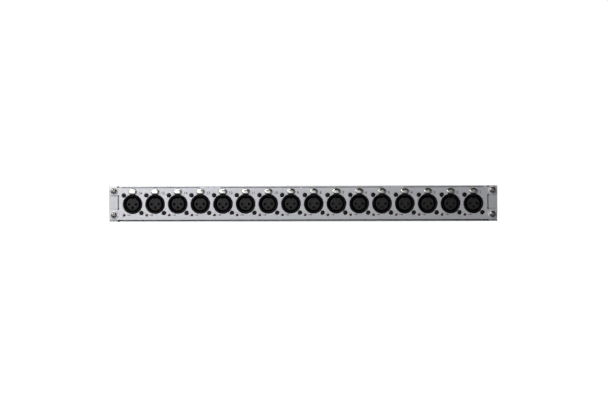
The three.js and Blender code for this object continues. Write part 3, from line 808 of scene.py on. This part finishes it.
# ground stud: threaded rod, washer and nut
p = Piece()
prof = [(0.0, 5.95), (1.7, 5.95)]
y = 5.8
while y > 0.4:
    prof += [(2.02, y), (1.96, y - 0.16), (1.90, y - 0.35)]
    y -= 0.5
prof += [(2.0, 0.0), (0.0, 0.0)]
p.lathe(prof, 0, 30, 32, 0)
p.plate([circle(0, 30, 4.4, 48), circle(0, 30, 2.1, 32)], 1.95, 1.35, 0.12, 2, 0)
p.plate([rounded(circle(0, 30, 3.95, 6, 0.3), 0.25, 3), circle(0, 30, 2.08, 32)], 4.3, 1.97, 0.3, 3, 1)
add("ground_stud_nut", p.mesh("ground_stud_nut", ["plating", "brass"]), "chassis", (0, YR, 0), ())

# figures beside the rear connectors, read from behind
texts = [text_mesh("1 - 8", 4.2, MULTI["1_8"], 26.0, bold=0.02, y=YR, turn=PI),
         text_mesh("9 - 16", 4.2, MULTI["9_16"], 26.0, bold=0.02, y=YR, turn=PI)]
ink_piece("rear_print", texts, [], "ink", y=YR)

# ------------------------------------------------------------------ stage, light and camera
def stage():
    me = bpy.data.meshes.new("floor")
    bm = bmesh.new()
    bmesh.ops.create_circle(bm, cap_ends=True, segments=96, radius=6.0)
    bm.to_mesh(me)
    bm.free()
    m, nt, b = new_mat("pale_floor")
    f = noise(nt, 3.0)
    nt.links.new(ramp(nt, f, [(0.3, (0.93, 0.93, 0.93)), (0.7, (0.95, 0.95, 0.95))]), b.inputs["Base Color"])
    b.inputs["Roughness"].default_value = 0.9
    b.inputs["Specular IOR Level"].default_value = 0.0
    b.inputs["Emission Color"].default_value = (1, 1, 1, 1)
    b.inputs["Emission Strength"].default_value = 0.78
    # the floor is blown out to the eye but lights the object only as a grey sweep would
    grey = nt.nodes.new("ShaderNodeBsdfDiffuse")
    grey.inputs["Color"].default_value = (0.34, 0.34, 0.34, 1)
    path = nt.nodes.new("ShaderNodeLightPath")
    pick = nt.nodes.new("ShaderNodeMixShader")
    out = next(n for n in nt.nodes if n.type == "OUTPUT_MATERIAL")
    nt.links.new(path.outputs["Is Camera Ray"], pick.inputs[0])
    nt.links.new(grey.outputs[0], pick.inputs[1])
    nt.links.new(b.outputs[0], pick.inputs[2])
    nt.links.new(pick.outputs[0], out.inputs["Surface"])
    me.materials.append(m)
    o = bpy.data.objects.new("floor", me)
    bpy.context.scene.collection.objects.link(o)
    o.location = (0, 0, -0.0002)

stage()

def area(name, loc, target, size, power, color=(1, 1, 1), size_y=None):
    l = bpy.data.lights.new(name, "AREA")
    l.shape = "RECTANGLE"
    l.size, l.size_y = size, size_y or size
    l.energy = power
    l.color = color
    o = bpy.data.objects.new(name, l)
    bpy.context.scene.collection.objects.link(o)
    o.location = loc
    o.rotation_euler = (Vector(target) - Vector(loc)).to_track_quat("-Z", "Y").to_euler()
    return o

area("key", (-0.62, -0.80, 0.42), (-0.04, 0.0, 0.02), 1.00, 3.5, size_y=0.80)
area("strip", (-0.20, -0.24, 0.27), (-0.12, -0.05, 0.02), 0.36, 0.6, size_y=0.06)
area("top_back", (0.0, 0.9, 1.2), (0, 0.05, 0), 1.4, 6.0, size_y=0.8)

world = bpy.data.worlds.new("studio")
bpy.context.scene.world = world
world.use_nodes = True
nt = world.node_tree
bg = nt.nodes["Background"]
bg.inputs["Color"].default_value = (1, 1, 1, 1)
sep = nt.nodes.new("ShaderNodeSeparateXYZ")
nt.links.new(nt.nodes.new("ShaderNodeTexCoord").outputs["Generated"], sep.inputs["Vector"])

def world_range(axis, f0, f1, t0, t1):
    n = nt.nodes.new("ShaderNodeMapRange")
    n.interpolation_type = "SMOOTHSTEP"
    for k, v in (("From Min", f0), ("From Max", f1), ("To Min", t0), ("To Max", t1)):
        n.inputs[k].default_value = v
    nt.links.new(sep.outputs[axis], n.inputs["Value"])
    return n.outputs["Result"]

def world_mix(fac, a, b):
    n = nt.nodes.new("ShaderNodeMix")
    n.data_type = "FLOAT"
    for k, v in ((0, fac), (2, a), (3, b)):
        if isinstance(v, (int, float)):
            n.inputs[k].default_value = v
        else:
            nt.links.new(v, n.inputs[k])
    return n.outputs[0]

# in front, a soft white wall at the left falls off to a dim studio at the right and overhead
front = nt.nodes.new("ShaderNodeMath")
front.operation = "MULTIPLY"
# the dark half reaches further left overhead
lift = nt.nodes.new("ShaderNodeMapRange")
for k, v in (("From Min", 0.0), ("From Max", 1.0), ("To Min", 0.0), ("To Max", 0.95)):
    lift.inputs[k].default_value = v
nt.links.new(sep.outputs["Z"], lift.inputs["Value"])
across = nt.nodes.new("ShaderNodeMath")
across.operation = "ADD"
nt.links.new(sep.outputs["X"], across.inputs[0])
nt.links.new(lift.outputs["Result"], across.inputs[1])
side = nt.nodes.new("ShaderNodeMapRange")
side.interpolation_type = "SMOOTHSTEP"
for k, v in (("From Min", 0.0), ("From Max", 0.21), ("To Min", 2.2), ("To Max", 0.15)):
    side.inputs[k].default_value = v
nt.links.new(across.outputs[0], side.inputs["Value"])
nt.links.new(side.outputs["Result"], front.inputs[0])
flag = nt.nodes.new("ShaderNodeMath")
flag.operation = "MULTIPLY"
nt.links.new(world_range("Z", 0.16, 0.52, 1.0, 0.06), flag.inputs[0])
nt.links.new(world_range("X", -0.66, -0.42, 0.15, 1.0), flag.inputs[1])
nt.links.new(flag.outputs[0], front.inputs[1])
lit = world_mix(world_range("Y", -0.25, 0.35, 0.0, 1.0), front.outputs[0], world_range("Z", 0.45, 0.85, 0.85, 0.22))
seen = world_mix(nt.nodes.new("ShaderNodeLightPath").outputs["Is Camera Ray"], lit, 1.05)
nt.links.new(seen, bg.inputs["Strength"])

cam = bpy.data.cameras.new("camera")
cam.sensor_width = 36.0
co = bpy.data.objects.new("camera", cam)
bpy.context.scene.collection.objects.link(co)
bpy.context.scene.camera = co
# the photograph's straight front view, from a little to the right
DIST, AZ, ROLL = 1.9, math.radians(2.0), math.radians(-0.155)
PX_PER_M = 805.0
target = Vector((0.0, YF * MM, ZC * MM))
d = Vector((math.sin(AZ), -math.cos(AZ), 0))
co.location = target + d * DIST
cam.lens = PX_PER_M * DIST / 608 * 36.0
q = (-d).to_track_quat("-Z", "Y")
co.rotation_mode = "QUATERNION"
co.rotation_quaternion = q @ Matrix.Rotation(ROLL, 3, "Z").to_quaternion()
cam.shift_x = (304.0 - 302.4) / 608
cam.shift_y = -(202.5 - 203.86) / 608
cam.clip_start, cam.clip_end = 0.05, 50
cam.dof.use_dof = False
bpy.context.scene.view_settings.view_transform = "Standard"
